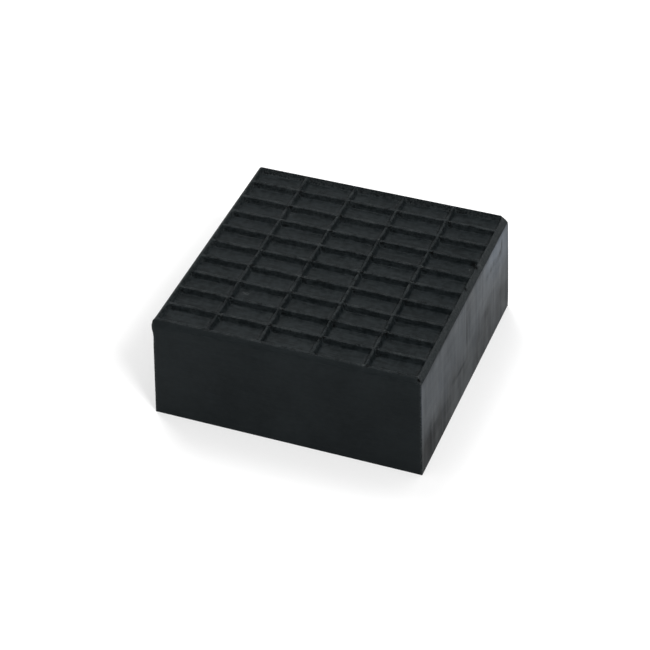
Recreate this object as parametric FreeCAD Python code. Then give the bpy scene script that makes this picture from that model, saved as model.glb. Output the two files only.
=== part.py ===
import FreeCAD, Part
import os

# Square rubber pad for a lift arm, moulded in one piece.
# A drafted block carries a load face of shallow rectangular pockets between thin ribs.
# Frame: origin at the middle of the base, +Z up, -Y the front, +X the side with the trimmed edge.
# All sizes are in millimetres.

# Block
BASE_WIDTH = 121.0
HEIGHT = 50.0
DRAFT_PER_SIDE = 1.4
CORNER_RADIUS = 0.4

# Load face: columns run along Y, rows run along X
COLUMNS = 5
ROWS = 10
COLUMN_PITCH = 23.15
ROW_PITCH = 11.74
COLUMN_RIB = 1.15
ROW_RIB = 1.35
FIELD_SHIFT_X = -0.43
FIELD_SHIFT_Y = 0.80

# One pocket: its walls lean outwards so that the rubber leaves the mould
POCKET_DEPTH = 2.3
WALL_LEAN = 1.0
FLOOR_FILLET = 0.5

# Edges of the load face: the left one is rounded, the others are cut by a sloping plane
LEFT_EDGE_RADIUS = 1.5
EDGE_CUT_DROP = 2.86
RIGHT_CUT_RUN = 2.24
FRONT_CUT_RUN = 0.45
BACK_CUT_RUN = 0.14

# Room that a cutting tool has beyond the block, and a pocket's tool above it
TOOL_MARGIN = 5.0
POCKET_TOOL_RISE = 0.2
TOLERANCE = 1e-6

TOP_HALF = BASE_WIDTH / 2 - DRAFT_PER_SIDE
POCKET_LENGTH = COLUMN_PITCH - COLUMN_RIB
POCKET_WIDTH = ROW_PITCH - ROW_RIB
DRAFT_SLOPE = DRAFT_PER_SIDE / HEIGHT


def point(x, y, z):
    return FreeCAD.Vector(x, y, z)


def frustum(low_size, high_size, low_z, high_z):
    """Solid with six flat faces, centred on the Z axis; each size is a length and a width."""
    signs = [(1, 1), (-1, 1), (-1, -1), (1, -1)]
    low = [point(sx * low_size[0] / 2, sy * low_size[1] / 2, low_z) for sx, sy in signs]
    high = [point(sx * high_size[0] / 2, sy * high_size[1] / 2, high_z) for sx, sy in signs]
    outlines = [low[::-1], high]
    for number in range(4):
        after = (number + 1) % 4
        outlines.append([low[number], low[after], high[after], high[number]])
    faces = [Part.Face(Part.makePolygon(outline + outline[:1])) for outline in outlines]
    return Part.Solid(Part.Shell(faces))


def edges_between(shape, low_z, high_z):
    """Edges that run from one level up to the other, or lie in one level where both are the same."""
    found = []
    for edge in shape.Edges:
        box = edge.BoundBox
        if abs(box.ZMin - low_z) < TOLERANCE and abs(box.ZMax - high_z) < TOLERANCE:
            found.append(edge)
    return found


def drafted_block():
    """Block with rounded upright corners, narrower at the top than at the base."""
    block = frustum((BASE_WIDTH, BASE_WIDTH), (2 * TOP_HALF, 2 * TOP_HALF), 0, HEIGHT)
    return block.makeFillet(CORNER_RADIUS, edges_between(block, 0, HEIGHT))


def cut_edge(run, drop, turn):
    """Tool that removes a sloping strip from the +X top edge, then turned about Z to its side."""
    inner = TOP_HALF - run
    outer = TOP_HALF + DRAFT_SLOPE * drop
    slope = drop / (outer - inner)
    reach = TOP_HALF + TOOL_MARGIN
    lowest = HEIGHT - slope * (reach - inner)
    profile = [(inner, HEIGHT), (reach, lowest), (reach, HEIGHT + TOOL_MARGIN),
               (inner, HEIGHT + TOOL_MARGIN), (inner, HEIGHT)]
    face = Part.Face(Part.makePolygon([point(x, -reach, z) for x, z in profile]))
    tool = face.extrude(point(0, 2 * reach, 0))
    tool.rotate(point(0, 0, 0), point(0, 0, 1), turn)
    return tool


def round_edge(radius):
    """Tool that rounds the -X top edge: a square bar less the round that the rubber keeps."""
    centre_x = -TOP_HALF + radius
    centre_z = HEIGHT - radius
    reach = TOP_HALF + TOOL_MARGIN
    size = radius + TOOL_MARGIN
    bar = Part.makeBox(size, 2 * reach, size, point(centre_x - size, -reach, centre_z))
    keep = Part.makeCylinder(radius, 2 * reach, point(centre_x, -reach, centre_z), point(0, 1, 0))
    return bar.cut(keep)


def pocket_tool():
    """One pocket as a solid, centred on the Z axis, with a fillet where its walls meet its floor."""
    floor = HEIGHT - POCKET_DEPTH
    top = HEIGHT + POCKET_TOOL_RISE
    grown = 2 * WALL_LEAN * POCKET_TOOL_RISE / POCKET_DEPTH
    low_size = (POCKET_LENGTH - 2 * WALL_LEAN, POCKET_WIDTH - 2 * WALL_LEAN)
    high_size = (POCKET_LENGTH + grown, POCKET_WIDTH + grown)
    tool = frustum(low_size, high_size, floor, top)
    return tool.makeFillet(FLOOR_FILLET, edges_between(tool, floor, floor))


def pocket_field():
    """All pockets, row by row from the back, as one compound of tools."""
    first_x = FIELD_SHIFT_X - (COLUMNS - 1) * COLUMN_PITCH / 2
    first_y = FIELD_SHIFT_Y + (ROWS - 1) * ROW_PITCH / 2
    master = pocket_tool()
    tools = []
    for row in range(ROWS):
        for column in range(COLUMNS):
            tool = master.copy()
            tool.translate(point(first_x + column * COLUMN_PITCH, first_y - row * ROW_PITCH, 0))
            tools.append(tool)
    return Part.makeCompound(tools)


def pad_block():
    block = drafted_block()
    block = block.cut(round_edge(LEFT_EDGE_RADIUS))
    block = block.cut(cut_edge(RIGHT_CUT_RUN, EDGE_CUT_DROP, 0))
    block = block.cut(cut_edge(FRONT_CUT_RUN, EDGE_CUT_DROP, -90))
    block = block.cut(cut_edge(BACK_CUT_RUN, EDGE_CUT_DROP, 90))
    return block.cut(pocket_field())


def main():
    os.makedirs("parts", exist_ok=True)
    block = pad_block()
    solid = block.Solids[0]
    solid.exportStep("parts/pad_block.step")
    print("solids", len(block.Solids), "valid", solid.isValid(), "faces", len(solid.Faces))
    print("volume in cubic centimetres", round(solid.Volume / 1000, 1))


main()
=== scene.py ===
import math

import bpy
import numpy as np
from mathutils import Matrix, Vector


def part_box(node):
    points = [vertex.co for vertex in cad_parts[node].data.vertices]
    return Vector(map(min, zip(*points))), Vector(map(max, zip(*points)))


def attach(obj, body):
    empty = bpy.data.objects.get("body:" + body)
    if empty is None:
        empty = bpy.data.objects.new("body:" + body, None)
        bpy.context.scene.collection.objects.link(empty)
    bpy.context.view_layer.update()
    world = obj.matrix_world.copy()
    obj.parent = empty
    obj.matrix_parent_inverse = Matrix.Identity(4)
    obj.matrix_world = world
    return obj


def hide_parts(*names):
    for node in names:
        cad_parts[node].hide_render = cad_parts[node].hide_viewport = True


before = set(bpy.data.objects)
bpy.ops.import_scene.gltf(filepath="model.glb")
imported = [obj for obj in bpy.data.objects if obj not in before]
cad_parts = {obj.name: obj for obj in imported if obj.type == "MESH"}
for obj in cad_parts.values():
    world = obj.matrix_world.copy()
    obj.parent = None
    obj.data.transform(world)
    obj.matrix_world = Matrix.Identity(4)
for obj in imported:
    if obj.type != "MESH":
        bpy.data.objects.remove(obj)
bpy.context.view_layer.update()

# Lengths below are in millimetres until a mesh or an object is made.
# A range is a pair of places: a share goes from 0 at the first one to 1 at the second one.
MM = 0.001

# Block, as the solid has it
NODE = "pad_block"
low_corner, high_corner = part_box(NODE)
BASE_HALF = (high_corner.x - low_corner.x) / 2 / MM
HEIGHT = (high_corner.z - low_corner.z) / MM
DRAFT_PER_SIDE = 1.4
TOP_HALF = BASE_HALF - DRAFT_PER_SIDE

# Load face, as the solid has it
COLUMNS = 5
ROWS = 10
COLUMN_PITCH = 23.15
ROW_PITCH = 11.74
COLUMN_RIB = 1.15
ROW_RIB = 1.35
FIELD_SHIFT_X = -0.43
FIELD_SHIFT_Y = 0.80
POCKET_DEPTH = 2.3
WALL_LEAN = 1.0
FLOOR_FILLET = 0.5

# Edges of the load face, as the solid has them
LEFT_EDGE_RADIUS = 1.5
EDGE_CUT_DROP = 2.86
RIGHT_CUT_RUN = 2.24
FRONT_CUT_RUN = 0.45
BACK_CUT_RUN = 0.14

# Finer than in the solid: sharp upright corners, rounded rib edges, and wider rims at the left and the back
CORNER_RADIUS = 0.15
RIB_EDGE_ROUND = 0.35
POCKET_CORNER_BLEND = 0.12
LEFT_RIM_GROWTH = 0.4
BACK_RIM_GROWTH = 0.3
# A corner with a radius below this stays sharp
LEAST_RADIUS = 0.01

# Mesh lines: distances outwards from a pocket's edge on the rib, and shares of the wall's lean down the wall
RIB_LINES = (0.08, 0.2, 0.36)
WALL_SHARES = (0.0, 0.1, 0.3, 0.6, 0.85, 1.05, 1.25, 1.55)
# Even steps over a pocket's floor, distances inwards from the outer edge, and the least gap of two lines
FLOOR_STEP = 1.3
CORNER_LINES = (0.2, 0.45, 0.8)
LEAST_GAP = 0.06
# Mesh rings as drops below the load face, then even steps, and the last ring above the base
EDGE_DROPS = (0.05, 0.15, 0.35, 0.65, 1.0, 1.5, 2.1, 2.6, 2.78, 2.86, 2.95, 3.15, 3.6)
SIDE_STEP = 1.6
BASE_EDGE_DROP = 49.6

# Random numbers: the seed, and the turns of the noise patterns in radians
SEED = 3
NOISE_TURNS = (0.3, 1.2)

# Unevenness of the load face builds up from its outer edge to this far inside
EDGE_HOLD = 2.5
# Ribs that wander slowly and quickly
RIB_WANDER = 0.16
RIB_WANDER_WAVE = 9.0
RIB_JITTER = 0.14
RIB_JITTER_WAVE = 2.4
# Growth of the pockets at their left and their right ends, first at the back, then at the front of the face
LEFT_GROWTH = (0.12, -0.05)
RIGHT_GROWTH = (0.05, 0.2)
# Growth of each pocket at its back left corner, and edges that creep in and out
CORNER_NOTCH = 0.25
CORNER_NOTCH_PLACE = 0.6
CORNER_NOTCH_REACH = 2.0
EDGE_CREEP = 0.17
EDGE_CREEP_WAVE = 3.2
# Ribs worn down between lumps, less so at the outer edge, and pocket floors that swell
RIB_LOSS = 0.12
RIB_LOSS_WAVE = 3.5
EDGE_LOSS_SHARE = 0.3
FLOOR_SWELL = 0.05
FLOOR_SWELL_WAVE = 5.0

# Slow hollows of the four sides, which fade towards the trimmed edge, the base and the upright corners
SIDE_HOLLOW = 0.12
SIDE_HOLLOW_WAVE = 13.0
SIDE_HOLLOW_TWIST = 0.37
HOLLOW_START = 5.0
HOLLOW_END = 3.0
HOLLOW_CORNER_RANGE = (0.5, 6.0)
# Shares of the half width at which a point starts to belong to a side
HOLLOW_FACE_RANGE = (0.985, 0.999)

# Uneven run of the right and front edges: how it starts and fades going down, and its ranges going outwards
TRIM_CHATTER = 0.1
TRIM_CHATTER_WAVE = 4.0
TRIM_CHATTER_TWIST = 2.0
TRIM_START = 0.3
TRIM_FADE = 1.2
TRIM_RIGHT_RANGE = (0.1, 0.6)
TRIM_FRONT_RANGE = (0.05, 0.3)

# Parts of the load face, as ranges of the distance inside a pocket's edge
RIB_RANGE = (0.35, -0.05)
WALL_TOP_RANGE = (0.0, 0.3)
WALL_FOOT_RANGE = (1.4, 0.9)
FLOOR_RANGE = (1.0, 1.6)
# The left rim along X, the back rim along Y, and where the grime and painted shade of the rib necks ends
# towards the right
LEFT_RIM_RANGE = (-55.0, -56.5)
BACK_RIM_RANGE = (57.0, 57.8)
NECK_COLUMNS_RANGE = (54.0, 50.0)
# How far before an edge a place still counts as past it, and the distance where no edge was passed
EDGE_SLACK = 0.3
FAR_AWAY = 1000.0

# Wear on the load face: a pale line along each pocket's edge
RIB_PALENESS = 0.1
RIB_PALENESS_PLACE = -0.1
RIB_PALENESS_REACH = 0.2
# Painted light at the foot of each pocket's right wall, lifting its shade
RIGHT_FOOT_LIGHT = 0.25
RIGHT_FOOT_LIGHT_PLACE = 1.3
RIGHT_FOOT_LIGHT_REACH = 0.6
RIGHT_FOOT_LIGHT_RANGE = (0.2, 1.5)
# Painted light on all walls, lifting their shade, growing to the left and to the back, and more at the two
# rims
WALL_LIGHT_LEFT = 0.12
WALL_LIGHT_BACK = 0.1
WALL_LIGHT_BACK_RANGE = (0.0, 50.0)
RIM_WALL_LIGHT = 0.3
# Pale and dark patches along the ribs, floors paler in the middle columns and darker in the right one
RIB_TONE = 0.42
RIB_TONE_WAVE = 2.2
FLOOR_TONE = 0.08
PALE_FLOORS_PLACE = -5.0
PALE_FLOORS_REACH = 30.0
DARK_FLOORS_RANGE = (30.0, 40.0)

# Painted shade at the top of the pockets' walls, other than the right ones: at the block's right and at its
# left
WALL_TOP_SHADE_RIGHT = 0.192
WALL_TOP_SHADE_LEFT = 0.112
WALL_TOP_SHADE_PLACE = 0.2
WALL_TOP_SHADE_REACH = 0.35
WALL_TOP_SHADE_RANGE = (0.2, 0.9)
# Uneven painted shade on the walls below column ribs and below row ribs, and what is added to its noise
COLUMN_WALL_SHADE = 0.12
ROW_WALL_SHADE = 0.06
COLUMN_SIDE_RANGE = (0.0, 0.6)
WALL_SHADE_LIFT = 0.5
# Painted shadow that slants off the crease in the back left corner of each pocket
CREASE_SHADOW = 0.5
CREASE_SLANT = 3.0
CREASE_REACH = 0.9
CREASE_END_RANGE = (1.3, 1.0)
CREASE_TOP_RANGE = (0.2, 0.6)
# Grime and painted corner shade on each row rib right of a column rib, and on each column rib in front of a
# row rib
RIB_END_SHADE_AND_GRIME = 0.45
RIB_END_PLACE = 0.9
RIB_END_REACH = 1.1
RIB_END_RANGE = (0.5, 0.1)
RIB_NECK_SHADE_AND_GRIME = 0.25
RIB_NECK_PLACE = 1.2
RIB_NECK_REACH = 1.4
RIB_NECK_RANGE = (0.2, -0.1)

# Lumps, nicks and burrs: place, reach along each axis, and how far the rubber is pushed
MARKS = (
    ((57.3, -58.4, 49.6), (0.6, 0.4, 0.8), (-0.3, 0.35, -0.7)),
    ((-58.9, -58.4, 45.8), (1.6, 1.6, 2.8), (-0.75, -0.1, 0.0)),
    ((-58.9, -58.6, 40.5), (1.2, 1.2, 2.4), (0.2, 0.0, 0.0)),
    ((56.9, 59.0, 50.0), (1.6, 1.2, 1.0), (-1.0, 0.0, 0.0)),
    ((34.1, 31.6, 50.0), (0.5, 1.3, 1.0), (0.1, 0.0, 0.14)),
    ((34.3, 20.2, 50.0), (0.5, 1.3, 1.0), (0.12, 0.0, 0.14)),
    ((34.9, 7.6, 50.0), (0.5, 1.1, 1.0), (0.2, 0.0, 0.14)),
    ((36.4, 47.7, 50.0), (1.1, 0.25, 1.0), (0.0, 0.0, 0.14)),
    ((36.3, 36.2, 50.0), (1.1, 0.25, 1.0), (0.0, 0.0, 0.14)),
    ((36.0, 24.2, 50.0), (1.0, 0.25, 1.0), (0.0, 0.0, 0.14)),
    ((0.7, 36.0, 50.0), (1.0, 0.3, 1.0), (0.0, 0.2, 0.14)),
    ((-1.2, 24.3, 50.0), (1.2, 0.3, 1.0), (0.0, -0.25, 0.14)),
    ((7.7, -34.6, 50.0), (0.8, 0.3, 1.0), (0.0, -0.3, 0.14)),
    ((56.2, 21.1, 49.8), (0.5, 0.8, 1.0), (-0.4, 0.0, 0.1)),
    ((54.9, 21.0, 48.4), (0.8, 0.8, 1.6), (0.0, 0.0, 0.6)),
    ((59.8, 59.8, 25.0), (2.0, 2.0, 60.0), (0.2, 0.15, 0.0)),
)

# Pale specks on the load face: place along X and Y, reach and strength
SPECKS = (
    (-31.2, -27.0, 0.6, 2.0), (-29.4, -26.7, 0.7, 2.0), (-32.7, 32.7, 1.0, 0.6),
    (57.6, 23.0, 0.9, 0.5), (-46.0, -47.0, 0.9, 0.4), (58.2, -58.9, 0.45, 2.0),
    (33.0, -33.8, 0.5, 0.8), (34.0, -57.8, 0.7, 0.9), (56.9, -57.3, 0.4, 2.5),
    (55.6, 22.8, 0.5, 1.2), (53.8, 19.8, 0.6, 1.0), (37.3, -49.6, 0.5, 1.2),
    (34.9, -43.8, 0.5, 1.0),
)
# Painted shade of the pits where rubber is torn, as black spots in the same form
TORN_PIT_SHADE_SPOTS = (
    (57.7, -58.1, 0.6, 1.6), (12.9, -36.0, 0.7, 1.0), (13.6, -13.7, 1.0, 0.6),
    (35.9, -45.2, 0.6, 0.9), (36.2, -48.3, 0.7, 0.9), (0.2, 24.9, 0.7, 0.8),
    (-2.8, 13.6, 0.6, 0.7), (12.4, 12.6, 0.6, 0.8), (57.0, 19.9, 0.6, 1.8),
    (54.7, 23.0, 0.8, 1.6), (55.6, 21.6, 0.6, 1.0), (57.2, 4.2, 0.5, 1.3),
    (36.1, 9.2, 0.8, 0.5),
)
# Specks and spots reach no further down than this
SPOT_DROP = 2.4
# Pale flecks of random strength and shift where ribs cross
FLECK_STRENGTH = 1.5
FLECK_REACH = 0.5
FLECK_SHIFT = 0.5

# Paler rubber below the load face: a painted highlight along the upright corners, and paleness on the
# trimmed strip and the rim at the top
UPRIGHT_HIGHLIGHT = 0.7
UPRIGHT_REACH = 0.7
STRIP_PALENESS = 0.3
STRIP_RANGE = (TOP_HALF - 3.0, TOP_HALF - 2.2)
STRIP_MOTTLE = 0.4
STRIP_MOTTLE_WAVE = 1.5
RIM_PALENESS = 0.4
RIM_PALENESS_REACH = 0.25

# Patches on a side: strength, range along the side and range of heights; every place is past ANYWHERE
ANYWHERE = (-100.0, -99.0)
# The painted sheen on the right side stands for its reflection, brighter towards the back and the top
PAINTED_SHEEN_LEVEL = 0.1
PAINTED_SHEEN_PATCHES = (
    (0.2, ANYWHERE, (10.0, 32.0)),
    (0.85, (8.0, 52.0), (22.0, 46.0)),
    (-0.1, (0.0, -50.0), (24.0, 6.0)),
)
FRONT_DULL_PATCHES = (
    (0.17, ANYWHERE, (54.0, 28.0)),
    (0.1, (-BASE_HALF, BASE_HALF), ANYWHERE),
)
RIGHT_DULL_LEVEL = 0.16
RIGHT_DULL_PATCHES = (
    (0.3, (10.0, 40.0), (20.0, 10.0)),
)
# Noises on a side: strength, wave and factor on heights; a low factor draws the pattern out upwards
PAINTED_SHEEN_NOISES = ((0.048, 9.0, 1.0), (0.032, 3.0, 1.0), (0.05, 1.6, 0.12))
FRONT_DULL_NOISES = ((0.03, 12.0, 1.0), (0.03, 4.0, 1.0))
RIGHT_DULL_NOISES = ((0.35, 1.4, 0.08), (0.2, 5.0, 1.0))
# Spots on the right side: place along Y, height, reach of both and strength
PAINTED_SHEEN_SPOTS = (
    (38.0, 42.5, 10.0, 3.5, 0.2),
)
DARK_MARKS = (
    (50.4, 41.4, 1.1, 2.8, 0.9),
    (48.2, 38.2, 1.7, 1.7, 0.8),
    (44.6, 37.6, 2.4, 1.2, 0.4),
    (38.8, 38.9, 2.0, 1.7, 0.5),
    (34.6, 38.3, 1.8, 1.5, 0.7),
    (29.9, 38.3, 1.6, 2.0, 0.4),
    (49.2, 16.5, 3.4, 3.4, 0.6),
    (27.9, 19.4, 4.0, 4.0, 0.6),
    (0.3, 29.0, 0.8, 10.0, 0.7),
    (3.4, 31.0, 0.7, 8.0, 0.5),
    (-9.0, 16.3, 6.5, 0.8, 0.9),
    (-18.0, 17.8, 4.0, 1.4, 0.5),
    (-31.0, 10.0, 4.0, 6.0, 0.12),
    (-29.0, 26.0, 6.0, 5.0, 0.15),
    (-49.0, 10.0, 1.4, 9.0, 0.6),
    (-45.0, 8.0, 1.0, 7.0, 0.5),
)

# Where the painted sheen lies: distances outwards from the plain side, and drops below the trimmed edge
PAINTED_SHEEN_FACE_RANGE = (-0.4, -0.15)
PAINTED_SHEEN_START_RANGE = (-0.2, 0.2)
# Share of the painted sheen that is left at the trimmed edge, where it is painted darker for the lip's
# rounding, and at the back top corner
LIP_PAINTED_SHEEN_SHARE = 0.62
LIP_PAINTED_SHEEN_RANGE = (0.0, 2.2)
CORNER_PAINTED_SHEEN_SHARE = 0.6
CORNER_PAINTED_SHEEN_RANGE_Y = (50.0, 57.0)
CORNER_PAINTED_SHEEN_RANGE_Z = (32.0, 46.0)

# Blacker near end of the right side, with less of it at the base and at the corner
NEAR_DULL = 0.8
NEAR_DULL_RANGE_Y = (-16.0, -44.0)
NEAR_DULL_RANGE_Z = (22.0, 12.0)
NEAR_BASE_SHARE = 0.6
NEAR_BASE_RANGE_Z = (4.0, 12.0)
NEAR_CORNER_SHARE = 0.6
NEAR_CORNER_RANGE_Y = (-50.0, -57.0)
# Where the sides' blackness starts, as drops and as shares of the block's half width, and the painted shade
# of the rounded lip below the trimmed edge
RIGHT_DULL_START_RANGE = (2.0, 4.0)
FRONT_DULL_START_RANGE = (0.5, 2.0)
DULL_FACE_RANGE = (0.985, 0.995)
LIP_PAINTED_SHADE = 0.3
LIP_PAINTED_SHADE_REACH = 0.7

# Camera, from the vanishing lines of the photograph
CAMERA_AZIMUTH = 21.512
CAMERA_ELEVATION = 38.698
CAMERA_ROLL = 1.261
CAMERA_DISTANCE = 950.25
CAMERA_TARGET = (-3.292, -4.893, 20.824)
SENSOR_WIDTH = 36.0
LENS = 120.863
CLIP_START = 10.0

# Stage and light, in metres and in linear light
FLOOR_SIZE = 12.0
FLOOR_COLOUR = 0.80
FLOOR_GLOW = 0.22
WORLD_COLOUR = (0.53, 0.53, 0.53)
BACK_PLACE = (0.2, 1.7, 1.2)
BACK_AIM = (0.2, 0, 1.2)
BACK_WIDTH = 4.0
BACK_HEIGHT = 2.4
BACK_RADIANCE = 0.52
KEY_PLACE = (-0.9, 1.0, 2.2)
KEY_SIZE = 0.9
KEY_RADIANCE = 9.2
FILL_PLACE = (1.2, -0.9, 1.6)
FILL_SIZE = 0.6
FILL_RADIANCE = 24.6

# Rubber: colours in linear light
RUBBER_DARK = (0.0035, 0.0055, 0.0062)
RUBBER_LIGHT = (0.0120, 0.0155, 0.0170)
# Pale for wear and painted light, black for grime and painted shade, then the dull black and the painted
# sheen's bluish colour
WEAR_AND_LIGHT_COLOUR = (0.030, 0.034, 0.035)
GRIME_AND_SHADE_COLOUR = (0.001, 0.001, 0.001)
DULL_COLOUR = (0.0034, 0.0041, 0.0050)
PAINTED_SHEEN_COLOUR = (0.068, 0.082, 0.100)
# Its sheen, and how much rougher it is where it is dull and where grime and painted shade lie
SHEEN_TINT = (0.95, 0.985, 1.0)
RUBBER_INDEX = 1.15
RUBBER_ROUGHNESS = (0.34, 0.46)
DULL_ROUGHNESS = 0.13
GRIME_AND_SHADE_ROUGHNESS = 0.6
# Its patterns: length in millimetres and detail of each noise, where that of the scuffs is their width
MOTTLE_NOISE = (2.2, 4.0)
CLOUD_NOISE = (18.0, 3.0)
FLECK_NOISE = (0.8, 2.0)
GRAIN_NOISE = (0.35, 2.0)
SCUFF_NOISE = (0.6, 3.0)
SCUFF_LENGTH = 5.0
SCUFF_TURN = 0.7
GRAIN_DEPTH = 0.012
# Contrast of the mottle on the sides and on the load face, and of the slow clouds
MOTTLE_CONTRAST = (0.15, 0.65)
CLOUD_CONTRAST = 0.28
# Middle of a noise, the part of the mixed noise that is used, and what noise makes of wear and painted
# light, of grime and painted shade, and of the painted sheen
NOISE_MIDDLE = 0.5
BLOTCH_RANGE = (0.38, 0.62)
WEAR_AND_LIGHT_BY_FLECK = ((0.4, 0.62), (0.1, 1.6))
GRIME_AND_SHADE_BY_FLECK = ((0.56, 0.44), (0.0, 1.6))
PAINTED_SHEEN_BY_MOTTLE = ((0.35, 0.65), (0.85, 1.15))
# No layer that the material reads goes over this
MOST_LAYER = 4.0

rng = np.random.default_rng(SEED)


# Small helpers

def smooth_step(value, low, high):
    """Share that goes smoothly from 0 at low to 1 at high; low may be the greater one."""
    t = np.clip((value - low) / (high - low), 0, 1)
    return t * t * (3 - 2 * t)


def smooth_minimum(a, b, blend):
    share = np.clip(0.5 + 0.5 * (b - a) / blend, 0, 1)
    return b + (a - b) * share - blend * share * (1 - share)


def between(share, first, second):
    """Value that goes evenly from first at share 0 to second at share 1."""
    return first + (second - first) * share


def peak(value, place, reach):
    """Smooth peak: 1 at its place, fading over its reach."""
    return np.exp(-((value - place) / reach) ** 2)


def value_noise(u, v, wave):
    """Smooth noise between -1 and 1 over two lengths; its features are about one wave long."""
    turn = rng.uniform(*NOISE_TURNS)
    across = (u * math.cos(turn) - v * math.sin(turn)) / wave
    along = (u * math.sin(turn) + v * math.cos(turn)) / wave
    cell_x, cell_y = np.floor(across).astype(int), np.floor(along).astype(int)
    share_x, share_y = smooth_step(across - cell_x, 0, 1), smooth_step(along - cell_y, 0, 1)
    cell_x, cell_y = cell_x - cell_x.min(), cell_y - cell_y.min()
    table = rng.uniform(-1, 1, (cell_x.max() + 2, cell_y.max() + 2))
    low = between(share_x, table[cell_x, cell_y], table[cell_x + 1, cell_y])
    high = between(share_x, table[cell_x, cell_y + 1], table[cell_x + 1, cell_y + 1])
    return between(share_y, low, high)


# Shape of the block

def half_width(drop):
    """Distance of the plain sides from the middle, at a drop below the load face."""
    return TOP_HALF + DRAFT_PER_SIDE * drop / HEIGHT


def side_distances(drop):
    """Distances of the left, right, front and back sides from the middle, at a drop below the load face."""
    plain = half_width(drop)
    left = plain
    if drop < LEFT_EDGE_RADIUS:
        rise = LEFT_EDGE_RADIUS - drop
        left = plain - LEFT_EDGE_RADIUS + math.sqrt(LEFT_EDGE_RADIUS ** 2 - rise ** 2)
    cut_share = max(0.0, 1 - drop / EDGE_CUT_DROP)
    right = plain - RIGHT_CUT_RUN * cut_share
    front = plain - FRONT_CUT_RUN * cut_share
    back = plain - (BACK_CUT_RUN - BACK_RIM_GROWTH) * cut_share
    return left, right, front, back


def pocket_profile(inside):
    """Height of the load face against the distance inside a pocket's edge, with both bends rounded."""
    angle = math.atan2(POCKET_DEPTH, WALL_LEAN)
    top_reach = RIB_EDGE_ROUND * math.tan(angle / 2)
    floor_reach = FLOOR_FILLET * math.tan(angle / 2)
    z = -inside * math.tan(angle)
    over_edge = inside < top_reach * math.cos(angle)
    bend = np.clip(inside + top_reach, 0, RIB_EDGE_ROUND)
    z = np.where(over_edge, np.sqrt(RIB_EDGE_ROUND ** 2 - bend ** 2) - RIB_EDGE_ROUND, z)
    in_fillet = inside > WALL_LEAN - floor_reach * math.cos(angle)
    bend = np.clip(WALL_LEAN + floor_reach - inside, 0, FLOOR_FILLET)
    fillet = FLOOR_FILLET - np.sqrt(FLOOR_FILLET ** 2 - bend ** 2) - POCKET_DEPTH
    return np.where(in_fillet, fillet, z)


# Shape of the load face

def pocket_edges(count, pitch, rib, shift):
    """Low and high edge of each pocket along one axis, in rising order."""
    first = shift - (count - 1) * pitch / 2
    half = (pitch - rib) / 2
    return [(first + i * pitch - half, first + i * pitch + half) for i in range(count)]


def inside_distance(positions, edges, low_growth=0.0, high_growth=0.0):
    """How far each position lies inside its nearest pocket, negative on a rib."""
    best = np.full(len(positions), -np.inf)
    for low, high in edges:
        best = np.maximum(best, np.minimum(positions - low + low_growth, high - positions + high_growth))
    return best


def distance_past(positions, edges):
    """How far each position lies past the last edge before it; far away where there is none."""
    distances = np.array([positions - edge for edge in edges])
    return np.where(distances < -EDGE_SLACK, FAR_AWAY, distances).min(0)


def face_lines(edges, low_side, high_side):
    """Positions of the mesh lines along one axis of the load face."""
    lines = [low_side, high_side]
    for step in CORNER_LINES:
        lines += [low_side + step, high_side - step]
    for low, high in edges:
        for out in RIB_LINES:
            lines += [low - out, high + out]
        for share in WALL_SHARES:
            lines += [low + share * WALL_LEAN, high - share * WALL_LEAN]
        floor_low, floor_high = low + WALL_SHARES[-1] * WALL_LEAN, high - WALL_SHARES[-1] * WALL_LEAN
        steps = round((floor_high - floor_low) / FLOOR_STEP)
        lines += list(np.linspace(floor_low, floor_high, steps + 1)[1:-1])
    for (_, high), (low, _) in zip(edges, edges[1:]):
        lines.append((high + low) / 2)
    lines = sorted(line for line in lines if low_side <= line <= high_side)
    kept = lines[:1]
    for line in lines[1:]:
        if line - kept[-1] > LEAST_GAP:
            kept.append(line)
    kept[-1] = high_side
    return np.array(kept)


def pocket_distances(x, y, columns, rows, from_back, hold):
    """How far each point lies inside its nearest pocket along X and along Y, with uneven pocket edges."""
    to_front = smooth_step(y, TOP_HALF, -TOP_HALF)
    left_growth, right_growth = [hold * between(to_front, *growth) for growth in (LEFT_GROWTH, RIGHT_GROWTH)]
    left_growth = left_growth + hold * CORNER_NOTCH * peak(from_back, CORNER_NOTCH_PLACE, CORNER_NOTCH_REACH)
    creep_x, creep_y = [hold * EDGE_CREEP * value_noise(x, y, EDGE_CREEP_WAVE) for axis in range(2)]
    inside_x = inside_distance(x, columns, left_growth, right_growth) + creep_x
    return inside_x, inside_distance(y, rows) + creep_y


def wander(x, y):
    """Slow and quick shift of the ribs along one axis."""
    slow = RIB_WANDER * value_noise(x, y, RIB_WANDER_WAVE)
    return slow + RIB_JITTER * value_noise(x, y, RIB_JITTER_WAVE)


def face_points(x, y, inside, hold):
    """Points of the load face, with ribs that wander and are worn down, and floors that swell."""
    on_rib = smooth_step(inside, *RIB_RANGE)
    loss = RIB_LOSS * between(hold, EDGE_LOSS_SHARE, 1) * (1 + value_noise(x, y, RIB_LOSS_WAVE)) / 2
    swell = FLOOR_SWELL * value_noise(x, y, FLOOR_SWELL_WAVE)
    z = HEIGHT + pocket_profile(inside) - on_rib * loss + (1 - on_rib) * swell
    moved_x = x + hold * wander(x, y)
    moved_y = y + hold * wander(x, y)
    return np.stack([moved_x, moved_y, z], 1)


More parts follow.
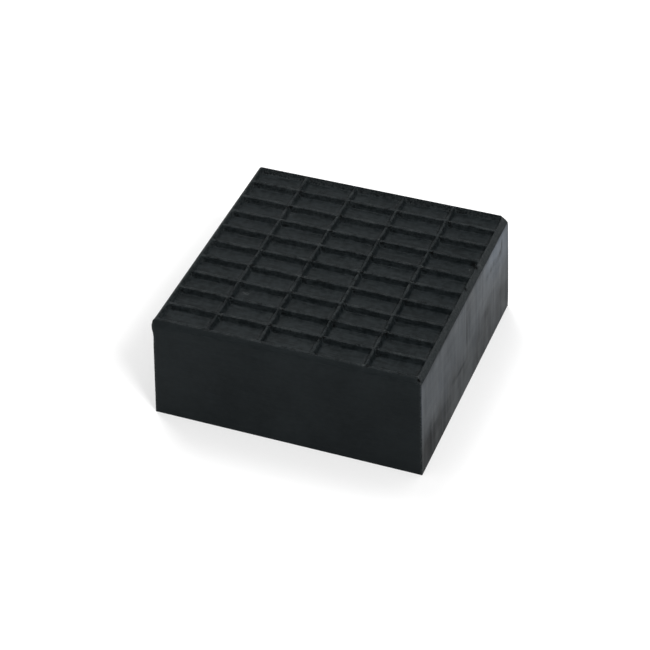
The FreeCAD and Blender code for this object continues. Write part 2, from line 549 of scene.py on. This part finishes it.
def face_tones(x, y, inside_x, inside_y, inside, past):
    """How pale and how dark each point of the load face is, from wear and painted light and from grime and
    painted shade; past holds its distances past pocket edges.
    """
    from_left, from_right, from_back = past
    on_rib = smooth_step(inside, *RIB_RANGE)
    on_wall = smooth_step(inside, *WALL_TOP_RANGE) * smooth_step(inside, *WALL_FOOT_RANGE)
    on_floor = smooth_step(inside, *FLOOR_RANGE)
    on_rim = np.maximum(smooth_step(x, *LEFT_RIM_RANGE), smooth_step(y, *BACK_RIM_RANGE))
    to_left = smooth_step(x, TOP_HALF, -TOP_HALF)
    tone = value_noise(x, y, RIB_TONE_WAVE)

    edge_wear = RIB_PALENESS * peak(inside, RIB_PALENESS_PLACE, RIB_PALENESS_REACH)
    # Painted light that lifts the shade at the foot of each pocket's right wall
    foot_light = RIGHT_FOOT_LIGHT * peak(from_right, RIGHT_FOOT_LIGHT_PLACE, RIGHT_FOOT_LIGHT_REACH)
    foot_light = foot_light * smooth_step(inside_y, *RIGHT_FOOT_LIGHT_RANGE)
    # Painted light that lifts the walls' shade
    wall_light = WALL_LIGHT_LEFT * to_left + WALL_LIGHT_BACK * smooth_step(y, *WALL_LIGHT_BACK_RANGE)
    wall_light = on_wall * (wall_light + RIM_WALL_LIGHT * on_rim)
    rib_wear = RIB_TONE * np.maximum(on_rib * tone, 0)
    floor_wear = FLOOR_TONE * on_floor * peak(x, PALE_FLOORS_PLACE, PALE_FLOORS_REACH)
    wear_and_light = edge_wear + foot_light + wall_light + rib_wear + floor_wear

    # Painted shade at the tops of the walls, other than the right ones
    top_shade_and_grime = between(to_left, WALL_TOP_SHADE_RIGHT, WALL_TOP_SHADE_LEFT) * smooth_step(from_right, *WALL_TOP_SHADE_RANGE)
    top_shade_and_grime = top_shade_and_grime * peak(inside, WALL_TOP_SHADE_PLACE, WALL_TOP_SHADE_REACH)
    # Uneven painted shade on the walls
    by_column = smooth_step(inside_y - inside_x, *COLUMN_SIDE_RANGE)
    wall_shade = on_wall * between(by_column, ROW_WALL_SHADE, COLUMN_WALL_SHADE) * (WALL_SHADE_LIFT + tone)
    # Painted shadow across the back wall, slanting off the crease of each pocket's back left corner
    crease_shadow = CREASE_SHADOW * peak(from_left, CREASE_SLANT * from_back, CREASE_REACH)
    crease_shadow = crease_shadow * smooth_step(from_back, *CREASE_END_RANGE) * smooth_step(inside, *CREASE_TOP_RANGE)
    # Grime and painted corner shade where the ribs meet
    rib_end = RIB_END_SHADE_AND_GRIME * peak(from_left, RIB_END_PLACE, RIB_END_REACH)
    rib_end = rib_end * smooth_step(inside_y, *RIB_END_RANGE)
    rib_neck = RIB_NECK_SHADE_AND_GRIME * peak(from_back, RIB_NECK_PLACE, RIB_NECK_REACH)
    rib_neck = rib_neck * smooth_step(inside_x, *RIB_NECK_RANGE) * smooth_step(x, *NECK_COLUMNS_RANGE)
    rib_grime = RIB_TONE * np.maximum(-on_rib * tone, 0)
    floor_grime = FLOOR_TONE * on_floor * smooth_step(x, *DARK_FLOORS_RANGE)
    off_rim = (1 - on_rim) * (top_shade_and_grime + wall_shade + rib_end + rib_neck)
    return wear_and_light, off_rim + crease_shadow + rib_grime + floor_grime


def load_face(columns, rows, xs, ys):
    """Points of the load face, and how pale and how dark each one is, from wear and painted light and from
    grime and painted shade.
    """
    grid_x, grid_y = np.meshgrid(xs, ys, indexing="ij")
    x, y = grid_x.ravel(), grid_y.ravel()
    from_edge = np.minimum(np.minimum(x - xs[0], xs[-1] - x), np.minimum(y - ys[0], ys[-1] - y))
    hold = smooth_step(from_edge, 0.0, EDGE_HOLD)
    from_left = distance_past(x, [low for low, _ in columns])
    from_right = distance_past(-x, [-high for _, high in columns])
    from_back = distance_past(-y, [-high for _, high in rows])
    inside_x, inside_y = pocket_distances(x, y, columns, rows, from_back, hold)
    inside = smooth_minimum(inside_x, inside_y, POCKET_CORNER_BLEND)
    points = face_points(x, y, inside, hold)
    wear_and_light, grime_and_shade = face_tones(x, y, inside_x, inside_y, inside, (from_left, from_right, from_back))
    return points, wear_and_light, grime_and_shade


# Shape of the sides

def round_corners(x, y, range_x, range_y, radius):
    """Outline points with the corners of their rectangle rounded."""
    if radius < LEAST_RADIUS:
        return x, y
    inner_x = np.clip(x, range_x[0] + radius, range_x[1] - radius)
    inner_y = np.clip(y, range_y[0] + radius, range_y[1] - radius)
    length = np.hypot(x - inner_x, y - inner_y)
    return inner_x + (x - inner_x) * radius / length, inner_y + (y - inner_y) * radius / length


def ring_outline(share_x, share_y, drop):
    """Outline of the sides at a drop below the load face, with rounded corners below the trimmed edge."""
    left, right, front, back = side_distances(drop)
    x = between(share_x, -left, right)
    y = between(share_y, -front, back)
    radius = CORNER_RADIUS * float(smooth_step(drop, 0.0, EDGE_CUT_DROP))
    return round_corners(x, y, (-left, right), (-front, back), radius)


def hollow_sides(x, y, z):
    """Slow hollows of the four sides, pushed inwards only."""
    drop = HEIGHT - z
    plain = half_width(drop)
    hold = smooth_step(drop, EDGE_CUT_DROP, EDGE_CUT_DROP + HOLLOW_START) * smooth_step(z, 0.0, HOLLOW_END)
    noise = value_noise(x + y, z + SIDE_HOLLOW_TWIST * (x - y), SIDE_HOLLOW_WAVE)
    from_corner = plain - np.minimum(np.abs(x), np.abs(y))
    depth = SIDE_HOLLOW * hold * (1 + noise) / 2 * smooth_step(from_corner, *HOLLOW_CORNER_RANGE)
    on_x = smooth_step(np.abs(x) / plain, *HOLLOW_FACE_RANGE)
    on_y = smooth_step(np.abs(y) / plain, *HOLLOW_FACE_RANGE)
    return x - np.sign(x) * on_x * depth, y - np.sign(y) * on_y * depth


def chatter_trim(x, y, z):
    """Uneven run of the trimmed right edge and of the front rim, pushed inwards only."""
    drop = HEIGHT - z
    near_edge = smooth_step(drop, 0.0, TRIM_START)
    near_edge = near_edge * smooth_step(drop, EDGE_CUT_DROP + TRIM_FADE, EDGE_CUT_DROP)
    right = smooth_step(x - TOP_HALF + RIGHT_CUT_RUN, *TRIM_RIGHT_RANGE)
    front = smooth_step(-y - TOP_HALF + FRONT_CUT_RUN, *TRIM_FRONT_RANGE)
    noise = value_noise(y, x + TRIM_CHATTER_TWIST * z, TRIM_CHATTER_WAVE)
    depth = TRIM_CHATTER * near_edge * (1 + noise)
    return x - right * depth, y + front * depth


def push_marks(points):
    """Lumps, nicks and short ridges of flash."""
    for place, reach, push in MARKS:
        away = (((points - place) / reach) ** 2).sum(1)
        points = points + np.exp(-away)[:, None] * np.array(push)
    return points


# Layers of the look

def spots(points, places):
    """Sum of round spots on the load face and its edges; each place is X, Y, reach and strength."""
    total = np.zeros(len(points))
    for x, y, reach, strength in places:
        total += strength * peak(points[:, 0], x, reach) * peak(points[:, 1], y, reach)
    return total * (points[:, 2] > HEIGHT - SPOT_DROP)


def side_spots(y, z, places):
    """Sum of oval spots on the right side; each place is Y, height, both reaches and strength."""
    total = np.zeros(len(y))
    for place_y, place_z, reach_y, reach_z, strength in places:
        total += strength * peak(y, place_y, reach_y) * peak(z, place_z, reach_z)
    return total


def side_patches(along, z, patches):
    """Sum of soft patches on a side; each one is strength, range along the side and range of heights."""
    total = np.zeros(len(z))
    for strength, range_along, range_up in patches:
        total += strength * smooth_step(along, *range_along) * smooth_step(z, *range_up)
    return total


def side_noises(along, z, noises):
    """Sum of noises on a side; each one is strength, wave and factor on heights."""
    total = np.zeros(len(z))
    for strength, wave, height_factor in noises:
        total += strength * value_noise(along, height_factor * z, wave)
    return total


def crossing_flecks(columns, rows):
    """Pale flecks where column ribs and row ribs cross, each of a random strength."""
    places = []
    for (_, left), (right, _) in zip(columns, columns[1:]):
        for (_, front), (back, _) in zip(rows, rows[1:]):
            shift_x, shift_y = rng.normal(0, FLECK_SHIFT, 2)
            strength = FLECK_STRENGTH * rng.uniform(0, 1) ** 2
            x, y = (left + right) / 2 + shift_x, (front + back) / 2 + shift_y
            places.append((x, y, FLECK_REACH, strength))
    return places


def side_paleness(x, y, drop):
    """Paler rubber: a painted highlight along the upright corners, and paleness on the trimmed strip and
    along the rim of the load face.
    """
    plain = half_width(drop)
    from_corner = np.hypot(plain - np.abs(x), plain - np.abs(y))
    # Painted highlight along the upright corners
    upright = UPRIGHT_HIGHLIGHT * peak(from_corner, 0.0, UPRIGHT_REACH)
    strip = STRIP_PALENESS * smooth_step(x, *STRIP_RANGE) * (drop < EDGE_CUT_DROP)
    strip = strip * (1 + STRIP_MOTTLE * value_noise(y, x + drop, STRIP_MOTTLE_WAVE))
    rim = RIM_PALENESS * peak(drop, 0.0, RIM_PALENESS_REACH)
    return np.maximum(np.maximum(upright, strip), rim)


def painted_sheen_amount(points):
    """Painted bluish sheen on the right side that stands for its reflection, strongest towards the back and
    the top, and the dark marks in it.
    """
    x, y, z = points.T
    amount = PAINTED_SHEEN_LEVEL + side_patches(y, z, PAINTED_SHEEN_PATCHES) + side_spots(y, z, PAINTED_SHEEN_SPOTS)
    amount = amount + side_noises(y, z, PAINTED_SHEEN_NOISES)
    marks = side_spots(y, z, DARK_MARKS)
    amount = amount * (1 - np.clip(marks, 0, 1))
    below_lip = HEIGHT - EDGE_CUT_DROP - z
    amount = amount * between(smooth_step(below_lip, *LIP_PAINTED_SHEEN_RANGE), LIP_PAINTED_SHEEN_SHARE, 1)
    at_corner = smooth_step(y, *CORNER_PAINTED_SHEEN_RANGE_Y) * smooth_step(z, *CORNER_PAINTED_SHEEN_RANGE_Z)
    amount = amount * between(at_corner, 1, CORNER_PAINTED_SHEEN_SHARE)
    on_side = smooth_step(x - half_width(HEIGHT - z), *PAINTED_SHEEN_FACE_RANGE)
    on_side = on_side * smooth_step(below_lip, *PAINTED_SHEEN_START_RANGE)
    return on_side * amount, on_side * marks


def dull_amount(points, side_marks):
    """Where the sides are blacker and rougher: more so lower on the front side, at the right side's near
    end, and as painted shade just below the trimmed lip.
    """
    x, y, z = points.T
    drop = HEIGHT - z
    plain = half_width(drop)
    front = side_patches(x, z, FRONT_DULL_PATCHES) + side_noises(x, z, FRONT_DULL_NOISES)
    front = front * smooth_step(-y / plain, *DULL_FACE_RANGE) * smooth_step(drop, *FRONT_DULL_START_RANGE)
    near = NEAR_DULL * smooth_step(y, *NEAR_DULL_RANGE_Y) * smooth_step(z, *NEAR_DULL_RANGE_Z)
    near = near * between(smooth_step(z, *NEAR_BASE_RANGE_Z), NEAR_BASE_SHARE, 1)
    near = near * between(smooth_step(y, *NEAR_CORNER_RANGE_Y), 1, NEAR_CORNER_SHARE)
    right = RIGHT_DULL_LEVEL + near + side_patches(y, z, RIGHT_DULL_PATCHES)
    right = right + side_noises(y, z, RIGHT_DULL_NOISES) + side_marks
    right = right * smooth_step(drop, *RIGHT_DULL_START_RANGE)
    # Painted shade just below the trimmed lip, for its rounding
    right = right + LIP_PAINTED_SHADE * peak(drop, EDGE_CUT_DROP, LIP_PAINTED_SHADE_REACH)
    right = right * smooth_step(x / plain, *DULL_FACE_RANGE)
    return np.where(-y > x, front, right)


# Mesh

def side_rings(top_points, rim, sides):
    """Rings from the rim of the load face down to the base: points, paleness, faces and the last ring."""
    left, right, front, back = sides
    rim_x, rim_y, rim_z = top_points[rim].T
    share_x = (rim_x + left) / (left + right)
    share_y = (rim_y + front) / (front + back)
    even_drops = np.arange(EDGE_DROPS[-1] + SIDE_STEP, BASE_EDGE_DROP - SIDE_STEP / 2, SIDE_STEP)
    points, wear_and_light, quads = [], [], []
    ring = rim
    start = len(top_points)
    for drop in (*EDGE_DROPS, *even_drops, BASE_EDGE_DROP, HEIGHT):
        x, y = ring_outline(share_x, share_y, drop)
        z = np.minimum(HEIGHT - drop, rim_z)
        x, y = hollow_sides(x, y, z)
        x, y = chatter_trim(x, y, z)
        points.append(np.stack([x, y, z], 1))
        wear_and_light.append(side_paleness(x, y, drop))
        after = np.arange(len(rim)) + start
        quads.append(np.stack([ring, after, np.roll(after, -1), np.roll(ring, -1)], 1))
        ring = after
        start += len(rim)
    return np.concatenate(points), np.concatenate(wear_and_light), np.concatenate(quads), ring


def pad_mesh():
    """A grid over the load face, rings down the sides and one face for the base, with the look's layers."""
    columns = pocket_edges(COLUMNS, COLUMN_PITCH, COLUMN_RIB, FIELD_SHIFT_X)
    rows = pocket_edges(ROWS, ROW_PITCH, ROW_RIB, FIELD_SHIFT_Y)
    # The grid starts where the solid's leftmost pockets do; those of the mesh start further in
    left = -columns[0][0]
    columns[0] = (columns[0][0] + LEFT_RIM_GROWTH, columns[0][1])
    _, right, front, back = side_distances(0.0)
    xs = face_lines(columns, -left, right)
    ys = face_lines(rows, -front, back)
    top_points, top_wear_and_light, top_shade_and_grime = load_face(columns, rows, xs, ys)
    index = np.arange(len(top_points)).reshape(len(xs), len(ys))
    top_quads = np.stack([index[:-1, :-1], index[1:, :-1], index[1:, 1:], index[:-1, 1:]], -1).reshape(-1, 4)
    rim = np.concatenate([index[:-1, 0], index[-1, :-1], index[:0:-1, -1], index[0, :0:-1]])
    ring_points, ring_paleness, ring_quads, last_ring = side_rings(top_points, rim, (left, right, front, back))

    points = push_marks(np.concatenate([top_points, ring_points]))
    points = np.clip(points, (-BASE_HALF, -BASE_HALF, 0), (BASE_HALF, BASE_HALF, HEIGHT))
    wear_and_light = np.concatenate([top_wear_and_light, ring_paleness]) + spots(points, SPECKS)
    wear_and_light = wear_and_light + spots(points, crossing_flecks(columns, rows))
    painted_sheen, side_marks = painted_sheen_amount(points)
    on_rings = (0, len(ring_points))
    # Layers: wear with painted light, grime with painted shade, the painted sheen, dull black, the tread,
    # and the painted shade of torn pits
    layers = {"wear_and_light": wear_and_light, "grime_and_shade": np.pad(top_shade_and_grime, on_rings), "painted_sheen": painted_sheen,
              "dull": dull_amount(points, side_marks), "tread": np.pad(np.ones(len(top_points)), on_rings),
              "torn_pit_shade": spots(points, TORN_PIT_SHADE_SPOTS)}
    return points, np.concatenate([top_quads, ring_quads]), last_ring[::-1], layers


def add_layer(mesh, name, values):
    """Layer of one number per vertex; the rubber's nodes read it by its name."""
    layer = mesh.attributes.new(name, "FLOAT", "POINT")
    layer.data.foreach_set("value", np.clip(values, 0, MOST_LAYER).astype(np.float32))


def make_pad(material):
    points, quads, base, layers = pad_mesh()
    mesh = bpy.data.meshes.new("rubber_pad")
    mesh.from_pydata((points * MM).tolist(), [], quads.tolist() + [base.tolist()])
    for name, values in layers.items():
        add_layer(mesh, name, values)
    mesh.materials.append(material)
    mesh.shade_smooth()
    pad = bpy.data.objects.new("rubber_pad", mesh)
    bpy.context.scene.collection.objects.link(pad)
    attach(pad, "root")
    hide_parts(NODE)


# Materials

def math_node(tree, operation, first, second):
    """Maths node; each input is a socket or a number."""
    node = tree.nodes.new("ShaderNodeMath")
    node.operation = operation
    for socket, value in zip(node.inputs, (first, second)):
        if isinstance(value, (int, float)):
            socket.default_value = value
        else:
            tree.links.new(value, socket)
    return node.outputs[0]


def noise_node(tree, place, length, detail):
    """Noise between about 0.3 and 0.7 with features of a length given in millimetres."""
    node = tree.nodes.new("ShaderNodeTexNoise")
    node.inputs["Scale"].default_value = 1 / (length * MM)
    node.inputs["Detail"].default_value = detail
    tree.links.new(place, node.inputs["Vector"])
    return node.outputs["Fac"]


def scuff_node(tree, place):
    """Noise drawn out along one level direction, for fine scuffs."""
    width, detail = SCUFF_NOISE
    mapping = tree.nodes.new("ShaderNodeMapping")
    mapping.inputs["Rotation"].default_value = (0, 0, SCUFF_TURN)
    mapping.inputs["Scale"].default_value = (width / SCUFF_LENGTH, 1, 1)
    tree.links.new(place, mapping.inputs["Vector"])
    return noise_node(tree, mapping.outputs["Vector"], width, detail)


def range_node(tree, value, old, new):
    """Value carried over from one range to another, and held at both ends."""
    node = tree.nodes.new("ShaderNodeMapRange")
    for socket, number in zip(node.inputs[1:5], (*old, *new)):
        socket.default_value = number
    tree.links.new(value, node.inputs[0])
    return node.outputs[0]


def mix_node(tree, share, first, second):
    """Mixed colour; first is a socket or a colour, second is a colour."""
    node = tree.nodes.new("ShaderNodeMix")
    node.data_type = "RGBA"
    tree.links.new(share, node.inputs["Factor"])
    a, b = [socket for socket in node.inputs if socket.type == "RGBA"]
    if isinstance(first, tuple):
        a.default_value = (*first, 1)
    else:
        tree.links.new(first, a)
    b.default_value = (*second, 1)
    return [socket for socket in node.outputs if socket.type == "RGBA"][0]


def layer_node(tree, name):
    node = tree.nodes.new("ShaderNodeAttribute")
    node.attribute_name = name
    return node.outputs["Fac"]


def rubber_material():
    """Near-black rubber: mottled and worn paler along its edges, with a painted highlight on the upright
    corners, painted light and shade in the pockets, black painted shade in torn pits, and a painted bluish
    sheen that stands for the right side's reflection.
    """
    material = bpy.data.materials.new("moulded_rubber")
    material.use_nodes = True
    tree = material.node_tree
    shader = tree.nodes["Principled BSDF"]
    place = tree.nodes.new("ShaderNodeTexCoord").outputs["Object"]
    mottle = noise_node(tree, place, *MOTTLE_NOISE)
    cloud = noise_node(tree, place, *CLOUD_NOISE)
    fleck = noise_node(tree, place, *FLECK_NOISE)
    grain = noise_node(tree, place, *GRAIN_NOISE)

    fine = math_node(tree, "ADD", mottle, scuff_node(tree, place))
    fine = math_node(tree, "SUBTRACT", fine, 2 * NOISE_MIDDLE)
    contrast = range_node(tree, layer_node(tree, "tread"), (0, 1), MOTTLE_CONTRAST)
    fine = math_node(tree, "MULTIPLY", fine, contrast)
    slow = math_node(tree, "MULTIPLY", math_node(tree, "SUBTRACT", cloud, NOISE_MIDDLE), CLOUD_CONTRAST)
    blotch = math_node(tree, "ADD", math_node(tree, "ADD", fine, slow), NOISE_MIDDLE)

    dull = layer_node(tree, "dull")
    # Wear and painted light
    worn_and_lit = math_node(tree, "MULTIPLY", layer_node(tree, "wear_and_light"), range_node(tree, fleck, *WEAR_AND_LIGHT_BY_FLECK))
    # Grime and painted shade in the pockets
    grimy_and_shaded = math_node(tree, "MULTIPLY", layer_node(tree, "grime_and_shade"), range_node(tree, fleck, *GRIME_AND_SHADE_BY_FLECK))
    # Black painted shade of the torn pits
    grimy_and_shaded = math_node(tree, "MAXIMUM", grimy_and_shaded, layer_node(tree, "torn_pit_shade"))
    mottled = range_node(tree, mottle, *PAINTED_SHEEN_BY_MOTTLE)
    # Painted bluish sheen on the right side, for its reflection
    painted_sheen = math_node(tree, "MULTIPLY", layer_node(tree, "painted_sheen"), mottled)
    colour = mix_node(tree, range_node(tree, blotch, BLOTCH_RANGE, (0, 1)), RUBBER_DARK, RUBBER_LIGHT)
    covers = ((dull, DULL_COLOUR), (worn_and_lit, WEAR_AND_LIGHT_COLOUR), (grimy_and_shaded, GRIME_AND_SHADE_COLOUR), (painted_sheen, PAINTED_SHEEN_COLOUR))
    for share, cover in covers:
        colour = mix_node(tree, share, colour, cover)
    tree.links.new(colour, shader.inputs["Base Color"])

    rough = range_node(tree, blotch, BLOTCH_RANGE, RUBBER_ROUGHNESS)
    for share, added in ((dull, DULL_ROUGHNESS), (grimy_and_shaded, GRIME_AND_SHADE_ROUGHNESS)):
        rough = math_node(tree, "ADD", rough, math_node(tree, "MULTIPLY", share, added))
    tree.links.new(math_node(tree, "MINIMUM", rough, 1.0), shader.inputs["Roughness"])
    shader.inputs["IOR"].default_value = RUBBER_INDEX
    shader.inputs["Specular Tint"].default_value = (*SHEEN_TINT, 1)

    bump = tree.nodes.new("ShaderNodeBump")
    bump.inputs["Distance"].default_value = GRAIN_DEPTH * MM
    bump.inputs["Strength"].default_value = 1.0
    tree.links.new(math_node(tree, "ADD", grain, mottle), bump.inputs["Height"])
    tree.links.new(bump.outputs["Normal"], shader.inputs["Normal"])
    return material


def floor_material():
    """White floor that keeps the pad's shadow, with a weak glow where it is looked at or mirrored."""
    material = bpy.data.materials.new("studio_floor")
    material.use_nodes = True
    tree = material.node_tree
    shader = tree.nodes["Principled BSDF"]
    shader.inputs["Base Color"].default_value = (FLOOR_COLOUR, FLOOR_COLOUR, FLOOR_COLOUR, 1)
    shader.inputs["Roughness"].default_value = 1.0
    shader.inputs["Specular IOR Level"].default_value = 0.0
    shader.inputs["Emission Color"].default_value = (1, 1, 1, 1)
    path = tree.nodes.new("ShaderNodeLightPath").outputs
    seen = math_node(tree, "MAXIMUM", path["Is Camera Ray"], path["Is Glossy Ray"])
    seen = math_node(tree, "MAXIMUM", seen, path["Is Transmission Ray"])
    glow = math_node(tree, "MULTIPLY", seen, FLOOR_GLOW)
    tree.links.new(glow, shader.inputs["Emission Strength"])
    return material


# Stage, light and camera

def make_stage():
    half = FLOOR_SIZE / 2
    corners = [(-half, -half, 0), (half, -half, 0), (half, half, 0), (-half, half, 0)]
    mesh = bpy.data.meshes.new("floor")
    mesh.from_pydata(corners, [], [(0, 1, 2, 3)])
    mesh.materials.append(floor_material())
    floor = bpy.data.objects.new("floor", mesh)
    bpy.context.scene.collection.objects.link(floor)


def area_lamp(name, place, aim, width, height, radiance):
    """Rectangular softbox of an even radiance that faces its aim."""
    lamp = bpy.data.lights.new(name, "AREA")
    lamp.shape = "RECTANGLE"
    lamp.size = width
    lamp.size_y = height
    lamp.energy = radiance * math.pi * width * height
    item = bpy.data.objects.new(name, lamp)
    item.location = place
    item.rotation_euler = (Vector(aim) - Vector(place)).to_track_quat("-Z", "Y").to_euler()
    bpy.context.scene.collection.objects.link(item)


def make_light():
    world = bpy.data.worlds.new("studio")
    bpy.context.scene.world = world
    world.use_nodes = True
    world.node_tree.nodes["Background"].inputs["Color"].default_value = (*WORLD_COLOUR, 1)
    area_lamp("back_softbox", BACK_PLACE, BACK_AIM, BACK_WIDTH, BACK_HEIGHT, BACK_RADIANCE)
    area_lamp("key", KEY_PLACE, (0, 0, 0), KEY_SIZE, KEY_SIZE, KEY_RADIANCE)
    area_lamp("fill", FILL_PLACE, (0, 0, 0), FILL_SIZE, FILL_SIZE, FILL_RADIANCE)


def make_camera():
    azimuth = math.radians(CAMERA_AZIMUTH)
    elevation = math.radians(CAMERA_ELEVATION)
    back = Vector((math.sin(azimuth) * math.cos(elevation), -math.cos(azimuth) * math.cos(elevation),
                   math.sin(elevation)))
    level_right = Vector((math.cos(azimuth), math.sin(azimuth), 0))
    level_up = back.cross(level_right)
    roll = math.radians(CAMERA_ROLL)
    up = level_up * math.cos(roll) + level_right * math.sin(roll)
    right = up.cross(back)
    location = Vector(CAMERA_TARGET) * MM + back * CAMERA_DISTANCE * MM
    data = bpy.data.cameras.new("camera")
    data.sensor_width = SENSOR_WIDTH
    data.lens = LENS
    data.clip_start = CLIP_START * MM
    camera = bpy.data.objects.new("camera", data)
    camera.matrix_world = Matrix.Translation(location) @ Matrix((right, up, back)).transposed().to_4x4()
    bpy.context.scene.collection.objects.link(camera)
    bpy.context.scene.camera = camera


make_camera()
make_light()
make_stage()
make_pad(rubber_material())
bpy.context.scene.view_settings.view_transform = "Standard"
